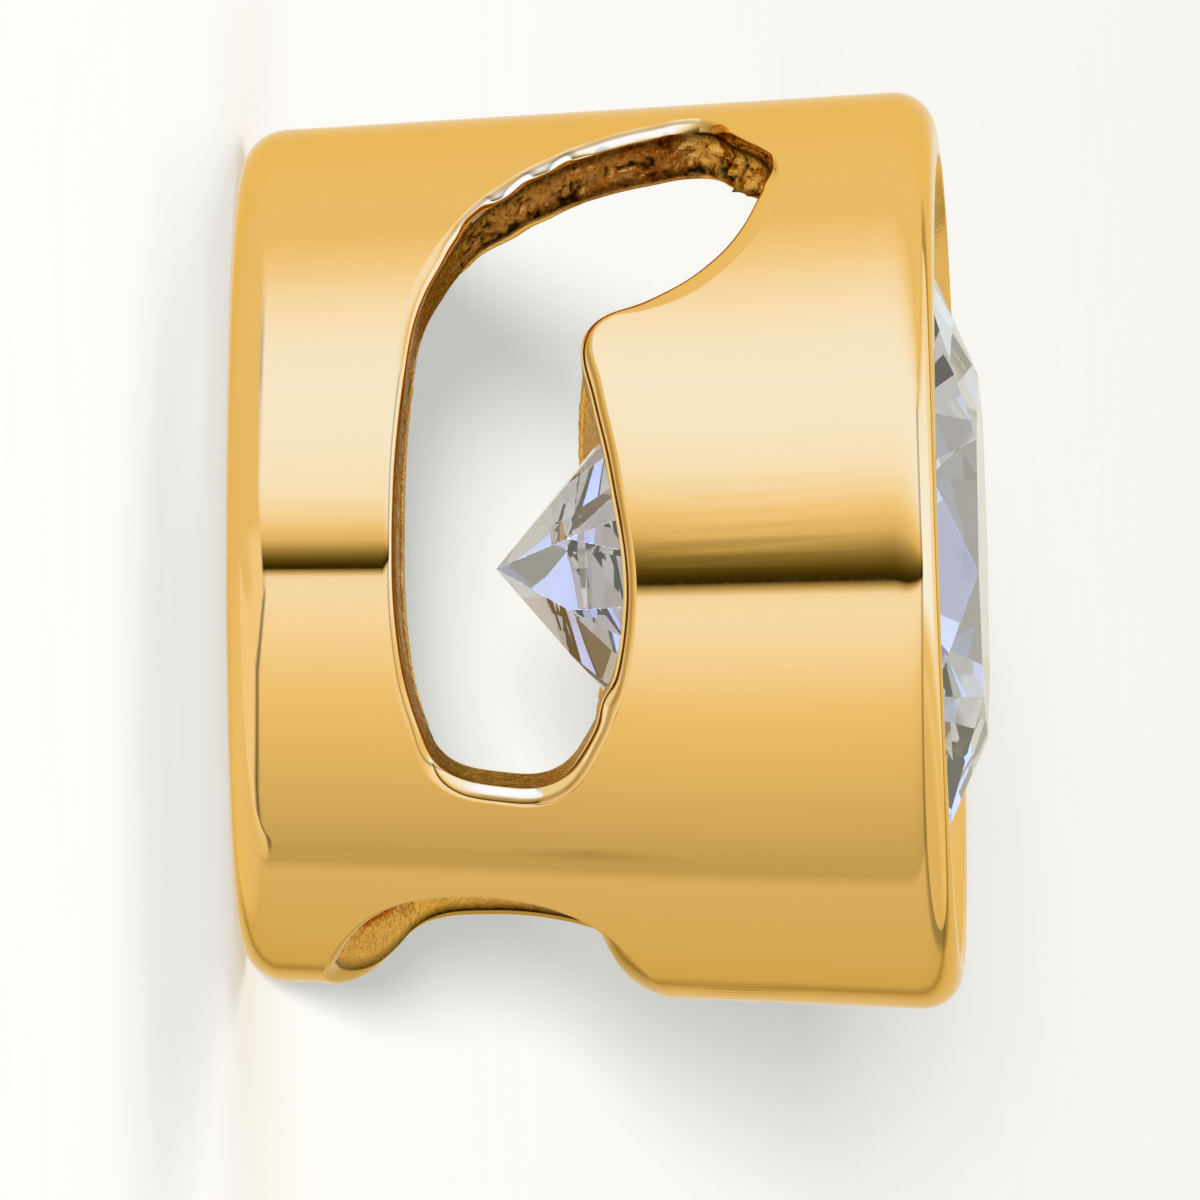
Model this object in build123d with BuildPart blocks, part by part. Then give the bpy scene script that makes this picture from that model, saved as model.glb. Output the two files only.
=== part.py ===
from build123d import *
import os
from math import cos, radians, sin, tan

# Slide pendant: a tapered gold barrel that a chain passes through, with a round stone set in
# its front end. Millimetres and degrees. Z runs from the open back rim up to the stone, X
# points to the wearer's bottom side and Y runs along the chain. The barrel stands on its back
# rim at z = 0.

# Barrel
barrel_length = 5.63        # back rim to front rim, along the middle
back_radius = 3.375         # outer radius at the back rim
front_radius = 3.67         # outer radius at the front rim
wall = 0.5                  # below the stone
barrel_lean = 0.53          # the tube leans this much towards -X
front_tilt = 1.87           # the front rim faces a little towards -X
rim_rounding = 0.34         # outer edge of both rims
bore_rounding = 0.05        # inner edge of the back rim

# Stone: a round brilliant
stone_diameter = 6.5
table_diameter = 2.9        # across the corners of the table
crown_angle = 25.8
pavilion_angle = 40.9
girdle_thickness = 0.2
star_reach = 0.56           # how far the stars run from the table's edge to the girdle
lower_half_reach = 0.77     # how far the lower halves run from the girdle to the point
facets = 8                  # kites, stars and pavilion mains
stone_height = 4.83         # z of the girdle's lower edge
stone_offset = 0.03         # the stone sits this far towards +X
stone_tilt = 1.5            # and faces this much towards -X
stone_turn = 5.0            # turned this much from having a kite's middle at +X

# Setting
fit = 0.025                 # gap all round the stone
ledge_height = 4.5          # z where the seat under the stone begins
ledge_reach = 2.7           # the seat's cone is cut from this radius outwards
lip_radius = 2.98           # inner radius of the lip over the stone
lip_mouth = 3.2             # inner radius of the front rim

# Windows for the chain, one in each side wall. Height is z. The angle is measured round the
# barrel from the middle of the side wall towards the wearer's top.
window_start = 0.5          # the cutter begins this far out of the axis
window_reach = 4.1          # and ends here, outside the wall
window_tip = (4.28, 60.0)
window_corner = (2.59, -34.4)
far_corner = (2.5, -34.4)
window_cusp = (2.91, 29.0)
far_cusp = (2.66, 32.0)
through_top = -2.84         # x of the highest point that is open straight through
through_bottom = 1.76       # x of the lowest one

# Each row is (height, angle). The roof runs down from the tip at the wearer's top, the flank
# along the back edge, the brows along the front edge and the nose under the hook.
roof = [(3.97, 68.5), (3.68, 75.7), (3.2, 72.7), (2.58, 64.6), (2.04, 55.2), (1.66, 45.4)]
flank = [(1.43, 36.0), (1.32, 23.8), (1.25, 5.0), (1.29, -12.8), (1.43, -23.9), (1.67, -32.9), (2.15, -35.0)]
near_brow = [(2.96, -26.5), (3.25, -8.8), (3.13, 10.7)]
far_brow = [(2.68, -27.0), (2.74, -8.8), (2.57, 15.0)]
nose = [(3.27, 33.3), (3.76, 39.8), (4.01, 45.1), (4.21, 54.0)]

# Notch through the wall at the wearer's bottom
notch_middle = 2.11         # z of its middle
notch_half_length = 1.21    # along the barrel
notch_half_angle = 35.0     # round the barrel
notch_start = 1.5           # the cutter begins this far out of the axis
notch_reach = 4.5           # and ends here, outside the wall

spare = 1.0                 # how far a blank runs past what trims it


def barrel_radius(height):
    """Outer radius of the barrel at this height along it."""
    return back_radius + (front_radius - back_radius) * height / barrel_length


def ray(height, angle, depth):
    """Where a ray out of the axis at this angle meets the plane at this depth."""
    return (-depth * tan(radians(angle)), height)


def flat(height, angle):
    """The same point of the barrel's outer face, seen straight from the side."""
    return (-barrel_radius(height) * sin(radians(angle)), height)


# Planes and axes that lean with the barrel and with its front end
lean = radians(barrel_lean)
tilt = radians(front_tilt)
stone_lean = radians(stone_tilt)
barrel_axis = Axis((0, 0, 0), (-sin(lean), 0, cos(lean)))
barrel_side = Plane((0, 0, 0), x_dir=(cos(lean), 0, sin(lean)), z_dir=(0, -1, 0))
front_plane = Plane((0, 0, barrel_length), z_dir=(-sin(tilt), 0, cos(tilt)))
stone_foot = (stone_offset, 0, stone_height)
stone_across = (cos(stone_lean), 0, sin(stone_lean))
stone_up = (-sin(stone_lean), 0, cos(stone_lean))
stone_plane = Plane(stone_foot, x_dir=stone_across, z_dir=stone_up)
stone_side = Plane(stone_foot, x_dir=stone_across, z_dir=(0, -1, 0))
stone_axis = Axis(stone_foot, stone_up)

# Stone sizes that follow from its angles
stone_radius = stone_diameter / 2
table_radius = table_diameter / 2
crown_height = (stone_radius - table_radius) * tan(radians(crown_angle))
pavilion_depth = stone_radius * tan(radians(pavilion_angle))
table_height = girdle_thickness + crown_height
half_step = 180 / facets


def stone_point(radius, angle, height):
    """A point in the stone's own frame, at height 0 on the girdle's lower edge."""
    turned = radians(angle + stone_turn)
    return Vector(radius * cos(turned), radius * sin(turned), height)


def facet(first, second, third):
    """The plane through three points of the stone, its normal pointing out of the stone."""
    normal = (second - first).cross(third - first)
    if normal.dot(first - Vector(0, 0, table_height / 2)) < 0:
        normal = normal * -1
    here = stone_plane.location * Plane(first, z_dir=normal).location
    return Plane(here)


# The kites meet the stars' tips, and the pavilion mains the lower halves' tips, on the ridges
# half a step round from the middles of the kites.
star_edge = table_radius * cos(radians(half_step))
star_tip_radius = star_edge + star_reach * (stone_radius - star_edge)
star_tip_drop = (stone_radius - star_tip_radius * cos(radians(half_step))) * tan(radians(crown_angle))
lower_tip_radius = stone_radius * (1 - lower_half_reach)
lower_tip_drop = (stone_radius - lower_tip_radius * cos(radians(half_step))) * tan(radians(pavilion_angle))

# Round stone: a blank disc, then one cut for each facet
with BuildPart() as round_stone:
    with BuildSketch(stone_side):
        with Locations((0, -pavilion_depth)):
            Rectangle(
                stone_radius,
                pavilion_depth + table_height,
                align=(Align.MIN, Align.MIN),
            )
    revolve(axis=stone_axis)
    for step in range(facets):
        middle = step * 2 * half_step
        for side in (-1, 1):
            ridge = middle + side * half_step
            # Crown: kite, upper half and star
            kite_foot = stone_point(stone_radius, middle, girdle_thickness)
            ridge_foot = stone_point(stone_radius, ridge, girdle_thickness)
            star_tip = stone_point(star_tip_radius, ridge, girdle_thickness + star_tip_drop)
            split(bisect_by=facet(kite_foot, ridge_foot, star_tip), keep=Keep.BOTTOM)
            # Pavilion: lower half
            kite_foot = stone_point(stone_radius, middle, 0)
            ridge_foot = stone_point(stone_radius, ridge, 0)
            lower_tip = stone_point(lower_tip_radius, ridge, -lower_tip_drop)
            split(bisect_by=facet(kite_foot, ridge_foot, lower_tip), keep=Keep.BOTTOM)
        other_ridge = middle - half_step
        other_tip = stone_point(star_tip_radius, other_ridge, girdle_thickness + star_tip_drop)
        table_corner = stone_point(table_radius, middle, table_height)
        split(bisect_by=facet(table_corner, star_tip, other_tip), keep=Keep.BOTTOM)
        next_corner = stone_point(table_radius, middle + 2 * half_step, table_height)
        split(bisect_by=facet(table_corner, next_corner, star_tip), keep=Keep.BOTTOM)
        other_lower_tip = stone_point(lower_tip_radius, other_ridge, -lower_tip_drop)
        culet = stone_point(0, 0, -pavilion_depth)
        split(bisect_by=facet(culet, lower_tip, other_lower_tip), keep=Keep.BOTTOM)
round_stone.part.label = "round_stone"

# Slide barrel: the tapered tube with its seat, lip, windows and notch, cast in one
with BuildPart() as slide_barrel:
    # Outer taper, trimmed to the two rims
    with BuildSketch(barrel_side):
        Polygon(
            (0, -spare),
            (barrel_radius(-spare), -spare),
            (barrel_radius(barrel_length + spare), barrel_length + spare),
            (0, barrel_length + spare),
            align=None,
        )
    revolve(axis=barrel_axis)
    split(bisect_by=Plane.XY, keep=Keep.TOP)
    split(bisect_by=front_plane, keep=Keep.BOTTOM)
    outer_rims = slide_barrel.edges().filter_by(GeomType.CIRCLE) + slide_barrel.edges().filter_by(GeomType.ELLIPSE)
    fillet(outer_rims, radius=rim_rounding)

    # Bore, up to the seat's ledge
    with BuildSketch(barrel_side):
        Polygon(
            (0, -spare),
            (barrel_radius(-spare) - wall, -spare),
            (barrel_radius(ledge_height) - wall, ledge_height),
            (0, ledge_height),
            align=None,
        )
    revolve(axis=barrel_axis, mode=Mode.SUBTRACT)
    fillet(slide_barrel.faces().sort_by(Axis.Z)[0].edges().sort_by(SortBy.LENGTH)[0], radius=bore_rounding)

    # Seat, girdle groove, lip and mouth, as the stone's own outline plus the gap
    seat_slope = lower_tip_drop / (stone_radius - lower_tip_radius)
    lip_slope = star_tip_drop / (stone_radius - star_tip_radius)
    seat_radius = stone_radius + fit
    mouth_height = barrel_length - stone_height
    with BuildSketch(stone_side):
        Polygon(
            (0, (ledge_reach - seat_radius) * seat_slope),
            (ledge_reach, (ledge_reach - seat_radius) * seat_slope),
            (seat_radius, 0),
            (seat_radius, girdle_thickness),
            (lip_radius, girdle_thickness + (seat_radius - lip_radius) * lip_slope),
            (lip_mouth, mouth_height),
            (lip_mouth, mouth_height + spare),
            (0, mouth_height + spare),
            align=None,
        )
    revolve(axis=stone_axis, mode=Mode.SUBTRACT)

    # Windows: each flares out from the axis, and is open straight through below its roof
    for side, corner, brow, cusp in ((1, window_corner, near_brow, window_cusp), (-1, far_corner, far_brow, far_cusp)):
        outline = (
            [window_tip] + roof + flank + [corner],
            [corner] + brow + [cusp],
            [cusp] + nose + [window_tip],
        )
        for depth in (window_start, window_reach):
            with BuildSketch(Plane.XZ.offset(side * depth)):
                with BuildLine():
                    for curve in outline:
                        Spline([ray(height, angle, depth) for height, angle in curve])
                make_face()
        loft(ruled=True, mode=Mode.SUBTRACT)
        with BuildSketch(Plane.XZ):
            with BuildLine():
                for curve in outline:
                    Spline([flat(height, angle) for height, angle in curve])
            make_face()
            with Locations(((through_top + through_bottom) / 2, barrel_length / 2)):
                Rectangle(through_bottom - through_top, barrel_length, mode=Mode.INTERSECT)
        extrude(amount=side * window_reach, mode=Mode.SUBTRACT)

    # Notch: an oval hole that flares out in the same way
    for depth in (notch_start, notch_reach):
        with BuildSketch(Plane.YZ.offset(depth)):
            with Locations((0, notch_middle)):
                Ellipse(depth * tan(radians(notch_half_angle)), notch_half_length)
    loft(ruled=True, mode=Mode.SUBTRACT)
slide_barrel.part.label = "slide_barrel"

os.makedirs("parts", exist_ok=True)
export_step(slide_barrel.part, "parts/slide_barrel.step")
export_step(round_stone.part, "parts/round_stone.step")
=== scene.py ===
# %% [markdown]
# # A gold slide pendant with a round stone
# A slide is a short gold tube that a neck chain runs through. This one carries a large clear
# stone in its front end. The lesson loads the solids that fix its size, then makes the two
# things that the eye judges: a polished skin with pierced windows, and a cut stone. The sizes
# below are millimetres, as a goldsmith gives them, and turn into metres at the very end.

# %% Frame and sizes
from math import atan, cos, pi, radians, sin, tan

import bmesh
import bpy
import numpy as np
from mathutils import Matrix, Vector, noise


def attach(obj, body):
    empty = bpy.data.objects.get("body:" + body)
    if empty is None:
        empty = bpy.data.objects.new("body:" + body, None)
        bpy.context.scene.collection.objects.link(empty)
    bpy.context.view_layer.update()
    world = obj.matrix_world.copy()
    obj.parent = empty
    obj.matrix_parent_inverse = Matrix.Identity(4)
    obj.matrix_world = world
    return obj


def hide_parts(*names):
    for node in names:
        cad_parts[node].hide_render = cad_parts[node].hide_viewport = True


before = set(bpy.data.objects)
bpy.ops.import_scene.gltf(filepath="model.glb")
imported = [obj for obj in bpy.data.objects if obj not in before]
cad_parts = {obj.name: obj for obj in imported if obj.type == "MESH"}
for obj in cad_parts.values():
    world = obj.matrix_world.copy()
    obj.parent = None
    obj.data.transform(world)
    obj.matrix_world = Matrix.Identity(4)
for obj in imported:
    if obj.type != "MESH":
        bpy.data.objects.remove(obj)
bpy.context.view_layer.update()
MM = 0.001
barrel_length = 5.63
back_radius = 3.375
front_radius = 3.67
wall = 0.5
barrel_lean = tan(radians(0.53))
front_tilt = tan(radians(1.87))
stone_tilt = tan(radians(1.5))
stone_offset = 0.03
stone_height = 4.83
print("solids:", sorted(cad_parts))

# %% [markdown]
# ## The camera
# The pendant stands on its open back rim, with the stone on top, and it is seen from the side
# in which the chain's window is. The picture is turned a quarter, so the camera rolls until the
# wearer's top, -X, points up in the frame. A very long lens keeps the two rims parallel, as a
# product photographer's does.

# %% Camera
frame_width = 9.564
camera_distance = 340.0
camera_rise = radians(2.0)
aim = Vector((0.351, 0.0, 2.845))
toward_camera = Vector((0, -cos(camera_rise), sin(camera_rise)))
picture_up = Vector((-1, 0, 0))
picture_right = picture_up.cross(toward_camera)
turn = Matrix((picture_right, picture_up, toward_camera)).transposed()
camera_data = bpy.data.cameras.new("camera")
camera_data.sensor_width = 36.0
camera_data.lens = camera_data.sensor_width * camera_distance / frame_width
camera_data.clip_start = 0.05
camera_data.clip_end = 5.0
camera = bpy.data.objects.new("camera", camera_data)
bpy.context.scene.collection.objects.link(camera)
camera.matrix_world = Matrix.Translation((aim + toward_camera * camera_distance) * MM) @ turn.to_4x4()
bpy.context.scene.camera = camera
print("lens in mm:", round(camera_data.lens))

# %% [markdown]
# ## Colours and nodes
# Colours are written as the hex values that a picture editor shows. Shaders reckon in linear
# light, so one function turns them. One more function adds a node, sets it and links it, which
# keeps every material below as short as its description.

# %% Two helpers for materials
def linear(code):
    """An sRGB hex colour as linear red, green, blue and alpha."""
    shares = [int(code[i:i + 2], 16) / 255 for i in (1, 3, 5)]
    return [c / 12.92 if c <= 0.04045 else ((c + 0.055) / 1.055) ** 2.4 for c in shares] + [1.0]


def add(tree, kind, settings=None, **inputs):
    """Adds a node with these settings. An input is a value, or the output socket that feeds it."""
    node = tree.nodes.new(kind)
    for name, value in (settings or {}).items():
        setattr(node, name, value)
    for name, value in inputs.items():
        socket = node.inputs[int(name[1:])] if name[1:].isdigit() else node.inputs[name.replace("_", " ")]
        if isinstance(value, bpy.types.NodeSocket):
            tree.links.new(value, socket)
        else:
            socket.default_value = value
    return node


# %% [markdown]
# ## From a flat strip to a tube
# A goldsmith may pierce a strip of sheet while it lies flat and then roll it to a tube. The
# same order suits a mesh, because holes with evenly rounded edges are easy to make in the flat.
# In the strip, X runs round the tube, Y along it and Z out of the metal. The function below is
# the roll: it wraps the strip round a tapered, slightly leaning tube whose front end is tilted.
# Polishing by hand never leaves a tube quite round, and a mirror shows it: a dark reflection
# slants where the wall sways, and curves where there is a low ridge or a flat spot.

# %% The roll
flat_radius = 3.5
seam = 90.0
rim_round = 0.34
turn_all_along = 0.0044
sway, sway_at, sway_length = 0.0143, 4.1, 1.1
ridge, flat_spot, mark_width = 0.0077, 0.0055, radians(12)
ridge_end, ridge_fade = 1.2, 1.8
tilt_start, tilt_fade = 4.3, 0.2
lip_fade = 0.09


def outer_radius(height):
    """Outer radius of the barrel at this height."""
    return back_radius + (front_radius - back_radius) * height / barrel_length


def hand_polish(angle, height):
    """How far hand work has left the wall off round, as a share of the radius."""
    turned = turn_all_along - sway * np.exp(-(((height - sway_at) / sway_length) ** 2))
    along = np.clip((height - ridge_end) / ridge_fade, 0, 1)
    swell = ridge - (ridge + flat_spot) * along * along * (3 - 2 * along)
    return turned * np.sin(2 * angle) + swell * np.exp(-((angle / mark_width) ** 2))


def roll(points):
    """Wraps points of the flat strip, in mm, round the tube."""
    angle = points[:, 0] / flat_radius
    height = points[:, 1]
    depth = -points[:, 2]
    side = -np.sin(angle)
    front_share = np.clip((height - tilt_start) / tilt_fade, 0, 1)
    inner = np.clip((depth - rim_round) / lip_fade, 0, 1) * front_share
    radius = outer_radius(height) - depth
    slope = (1 - inner) * front_tilt + inner * stone_tilt
    tilted = height + front_share * slope * radius * side
    radius = radius + (1 - inner) * (outer_radius(tilted) - outer_radius(height))
    radius = radius * (1 + (1 - inner) * hand_polish(angle, height))
    centre = -(1 - inner) * barrel_lean * tilted
    centre = centre + inner * (stone_offset - (tilted - stone_height) * stone_tilt)
    return np.stack((centre + radius * side, -radius * np.cos(angle), tilted), axis=1)


def rolled_normals(points, normals):
    """Carries the strip's normals through the roll, by the change of three small steps."""
    step = 1e-4
    columns = []
    for axis in range(3):
        move = np.zeros(3)
        move[axis] = step
        columns.append((roll(points + move) - roll(points - move)) / (2 * step))
    bent = np.linalg.solve(np.transpose(np.stack(columns, axis=2), (0, 2, 1)), normals[:, :, None])[:, :, 0]
    return bent / np.linalg.norm(bent, axis=1, keepdims=True)


# %% [markdown]
# ## The outlines of the openings
# Each opening is a closed curve of (height along the tube, angle round it). The angle is 0 in
# the middle of the side wall and grows towards the wearer's top. A Bezier curve with automatic
# handles passes smoothly through all of its points, so a few points are enough, and it is then
# read back as evenly spaced points. The far window mirrors the near one, apart from its front
# edge, which hides behind the stone, and its back edge, which stands a little lower. The notch
# was filed from one side, so it is wider towards the viewer.

# %% Outlines
near_window = [
    (4.28, 61.0), (3.97, 68.5), (3.68, 75.7), (3.2, 72.7), (2.58, 64.6), (2.04, 55.2), (1.66, 45.4),
    (1.43, 36.0), (1.32, 23.8), (1.25, 5.0), (1.29, -12.8), (1.43, -23.9), (1.67, -32.4), (2.15, -35.0),
    (2.59, -34.4), (2.96, -26.5), (3.25, -8.8), (3.13, 10.7), (2.98, 22.0), (2.91, 29.5), (3.02, 31.5),
    (3.27, 33.3), (3.76, 39.8), (4.01, 45.1), (4.21, 54.0),
]
far_window = near_window[:14] + [
    (2.5, -34.4), (2.68, -27.0), (2.74, -8.8), (2.57, 15.0), (2.62, 28.0), (2.66, 31.5), (2.8, 32.3),
] + near_window[21:]
flank_below, far_flank_drop = 1.7, 0.09
far_window = [(height - far_flank_drop * (height < flank_below), angle) for height, angle in far_window]
notch = [
    (0.66, -80), (0.71, -73), (0.86, -63.5), (1.10, -56.8), (1.38, -53.4), (1.85, -51.7), (2.25, -52.2),
    (2.6, -54.2), (2.9, -58), (3.14, -64.5), (3.34, -76), (3.41, -90), (3.36, -103), (3.2, -112),
    (2.85, -120), (2.46, -123.3), (1.82, -124.1), (1.43, -122.3), (1.22, -118), (1.10, -112), (0.92, -101),
    (0.74, -90),
]


def outline(rows, mirror=False, spacing=0.04):
    """Evenly spaced points of the closed curve through these rows, in the flat strip."""
    curve = bpy.data.curves.new("outline", "CURVE")
    curve.dimensions = "3D"
    spline = curve.splines.new("BEZIER")
    spline.bezier_points.add(len(rows) - 1)
    spline.use_cyclic_u = True
    spline.resolution_u = 32
    for point, (height, angle) in zip(spline.bezier_points, rows):
        angle = -180 - angle if mirror else angle
        point.co = (radians(angle) * flat_radius, height, 0)
        point.handle_left_type = point.handle_right_type = "AUTO"
    carrier = bpy.data.objects.new("outline", curve)
    mesh = bpy.data.meshes.new_from_object(carrier)
    fine = np.array([v.co[:2] for v in mesh.vertices])
    bpy.data.objects.remove(carrier)
    bpy.data.curves.remove(curve)
    bpy.data.meshes.remove(mesh)
    closed = np.vstack((fine, fine[:1]))
    along = np.concatenate(([0], np.cumsum(np.linalg.norm(np.diff(closed, axis=0), axis=1))))
    stations = np.linspace(0, along[-1], int(along[-1] / spacing), endpoint=False)
    loop = np.stack([np.interp(stations, along, closed[:, i]) for i in (0, 1)], axis=1)
    after = np.roll(loop, -1, axis=0)
    if np.sum(loop[:, 0] * after[:, 1] - after[:, 0] * loop[:, 1]) < 0:
        loop = loop[::-1]
    return loop


loops = {
    "near window": outline(near_window),
    "far window": outline(far_window, mirror=True),
    "notch": outline(notch),
}
print("outline points:", {name: len(loop) for name, loop in loops.items()})

# %% [markdown]
# ## Walls of the openings
# The rim of each opening is bevelled with a burnisher, about a tenth of a millimetre wide, and
# below it the wall goes down through the metal. Rings are extruded from the outline one after
# another: first the bevel, whose section is a superellipse, rounder than a chamfer and flatter
# than a round, then the wall, then a small round at the bore. The bevel isn't the same all
# round: it is thin and unsteady under the roof of a window, near the wearer's top, wide on the
# hook over the stone's point, which is called the nose here, and it has a small burr where the
# burnisher slipped. At the notch it widens where the file ran out.

# %% Rings
edge_width = 0.11
roof_edge_width = 0.055
tip_edge_width = 0.02
nose_edge_width = 0.2
file_exit = 0.28
edge_power = 1.35
bore_round = 0.05
edge_steps = 12
wall_steps = 12
bore_steps = 3
burr = (3.04, -20.6)
burr_size, burr_width = 0.14, 0.08
wander, wander_length = 0.8, 0.3
nose_heights, nose_top, nose_foot = (3.0, 3.7), (62, 56), (26, 34)
roof_from = (42, 52)
tip_heights, tip_from = (3.55, 3.75), (52, 60)
file_heights = (2.9, 3.35)


def into_hole(loop):
    """Unit vectors that point from a closed counter-clockwise loop into the opening."""
    along = np.roll(loop, -1, axis=0) - np.roll(loop, 1, axis=0)
    along = along / np.linalg.norm(along, axis=1, keepdims=True)
    return np.stack((-along[:, 1], along[:, 0]), axis=1)


def eased(loop, times):
    """The loop with each point moved towards the middle of its neighbours."""
    for _ in range(times):
        loop = (2 * loop + np.roll(loop, 1, axis=0) + np.roll(loop, -1, axis=0)) / 4
    return loop


def angles_of(name, loop):
    """Angle of each point from the middle of its own side wall, in degrees."""
    angles = np.degrees(loop[:, 0] / flat_radius)
    return -180 - angles if name == "far window" else angles


def between(values, start, end):
    """0 before start, 1 past end and smooth in between, also when end is the lower one."""
    share = np.clip((values - start) / (end - start), 0, 1)
    return share * share * (3 - 2 * share)


def zones(name, loop):
    """How much each point belongs to the nose, to the roof and to its rough tip."""
    angles, heights = angles_of(name, loop), loop[:, 1]
    nose = between(heights, *nose_heights) * between(angles, *nose_top) * between(angles, *nose_foot)
    roof = between(angles, *roof_from) * (1 - nose)
    tip = between(heights, *tip_heights) * between(angles, *tip_from) * (1 - nose)
    return nose, roof, tip


def edge_widths(name, loop):
    """Width of the bevel at each point, with the burr and the marks where the file ran out."""
    if name == "notch":
        return edge_width + (file_exit - edge_width) * between(loop[:, 1], *file_heights)
    nose, roof, tip = zones(name, loop)
    widths = edge_width + (roof_edge_width - edge_width) * roof + (tip_edge_width - roof_edge_width) * tip
    unsteady = [noise.noise(Vector((x, y, 5)) / wander_length) for x, y in loop]
    widths = widths * (1 + wander * roof * np.array(unsteady))
    widths = widths * (1 - nose) + nose_edge_width * nose
    if name == "near window":
        across = (angles_of(name, loop) - burr[1]) * radians(1) * flat_radius
        apart = across ** 2 + (loop[:, 1] - burr[0]) ** 2
        widths += burr_width * np.exp(-apart / (2 * (burr_size / 2) ** 2))
    return widths


def ring_places(name, loop):
    """(part, ring, depth, share of the way through that part) from the outer face to the bore."""
    widths = edge_widths(name, loop)
    places = []
    ring, done = loop, 0.0
    for step in range(1, edge_steps + 1):
        turn = step / edge_steps * pi / 2
        goal = sin(turn) ** (2 / edge_power)
        ring = eased(ring + into_hole(ring) * (widths * (goal - done))[:, None], 1)
        done = goal
        sink = edge_width * (1 - cos(turn) ** (2 / edge_power))
        places.append(("edge", ring, sink, step / edge_steps))
    inner_edge = ring
    for step in range(1, wall_steps + 1):
        share = step / wall_steps
        places.append(("wall", ring, edge_width + share * (wall - edge_width - bore_round), share))
    for step in range(1, bore_steps + 1):
        turn = step / bore_steps * pi / 2
        ring = inner_edge - into_hole(inner_edge) * bore_round * (1 - cos(turn))
        places.append(("bore", ring, wall - bore_round + bore_round * sin(turn), step / bore_steps))
    return places


# %% [markdown]
# ## The profile of the two ends
# Both ends are drawn as profiles of (height, depth into the wall). The back rim is a large outer
# round, a narrow flat and a small round. The front end has the same outer round, then the bright
# bevel of the bezel down to the lip that holds the stone, and under the lip the groove for the
# stone's edge and the sloping seat that carries it.

# %% Profiles
rim_steps = 12
ledge_height = 4.5
stone_radius = 3.25
fit = 0.025
girdle_thickness = 0.2
lip_radius = 2.98
lip_mouth = 3.2
lip_slope = 0.574
seat_slope = 0.885
seat_start = 2.72
mouth_round = 0.03
lip_land = 0.01
lip_step = 0.015
ledge_step = 0.05


def arc(middle, start, end, radius, steps):
    """Points of a round from one angle to another, both ends included."""
    turns = [radians(start + (end - start) * i / steps) for i in range(steps + 1)]
    return [(middle[0] + radius * cos(t), middle[1] + radius * sin(t)) for t in turns]


def stone_side_point(radius, height):
    """(height, depth) of a point given by its radius and its height above the girdle's foot."""
    return (stone_height + height, outer_radius(stone_height + height) - radius)


back_profile = arc((rim_round, rim_round), -90, -180, rim_round, rim_steps)
back_profile += arc((bore_round, wall - bore_round), 180, 90, bore_round, 3)
front_top = barrel_length
seat_radius = stone_radius + fit
mouth_depth = outer_radius(barrel_length) - lip_mouth
front_profile = arc((front_top - rim_round, rim_round), -90, 0, rim_round, rim_steps)
front_profile += arc((front_top - mouth_round, mouth_depth - mouth_round), 0, 60, mouth_round, 3)
lip_foot = girdle_thickness + (seat_radius - lip_radius) * lip_slope
front_profile += [
    stone_side_point(lip_radius + lip_land, lip_foot + 3 * lip_land),
    stone_side_point(lip_radius, lip_foot + lip_land),
    stone_side_point(lip_radius + lip_step, lip_foot - lip_step * lip_slope),
    stone_side_point(seat_radius, girdle_thickness),
    stone_side_point(seat_radius, 0),
    stone_side_point(seat_start, (seat_start - seat_radius) * seat_slope),
    (ledge_height, wall + ledge_step),
    (ledge_height - ledge_step, wall),
]
print("profile points:", len(back_profile), "at the back,", len(front_profile), "at the front")

# %% [markdown]
# ## Building the strip
# All the faces go into one bmesh. Two functions are enough for the rims and the walls: one lays
# a closed ring of edges, and one extrudes a row of edges and moves the new row into place. A
# layer remembers which faces belong to the flat outside or to the bore, and two more, in the
# next step, how much painted shade and how much painted highlight each vertex gets.

# %% Strip
bend_every = 2.0
bends = [radians(angle) * flat_radius for angle in np.arange(seam - 360, seam + bend_every / 2, bend_every)]
POLISHED, CAST, BORE = 0, 1, 2
OUTSIDE, INSIDE = 1, -1
strip = bmesh.new()
plate_side = strip.faces.layers.int.new("plate side")


def vertex_ring(points, depth):
    """A closed ring of new vertices and edges at this depth."""
    verts = [strip.verts.new((x, y, -depth)) for x, y in points]
    edges = [strip.edges.new(pair) for pair in zip(verts, verts[1:] + verts[:1])]
    return verts, edges


def extrude_row(verts, edges, places, paint):
    """Extrudes a row of edges, moves the new row to these places and paints the new faces."""
    made = bmesh.ops.extrude_edge_only(strip, edges=edges)["geom"]
    fresh = {item for item in made if isinstance(item, bmesh.types.BMVert)}
    row = [next(e.other_vert(v) for e in v.link_edges if e.other_vert(v) in fresh) for v in verts]
    for vert, place in zip(row, places):
        vert.co = place
    for item in made:
        if isinstance(item, bmesh.types.BMFace):
            item.material_index = paint
    new_edges = [e for e in made if isinstance(e, bmesh.types.BMEdge) and set(e.verts) <= fresh]
    return row, new_edges
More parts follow.
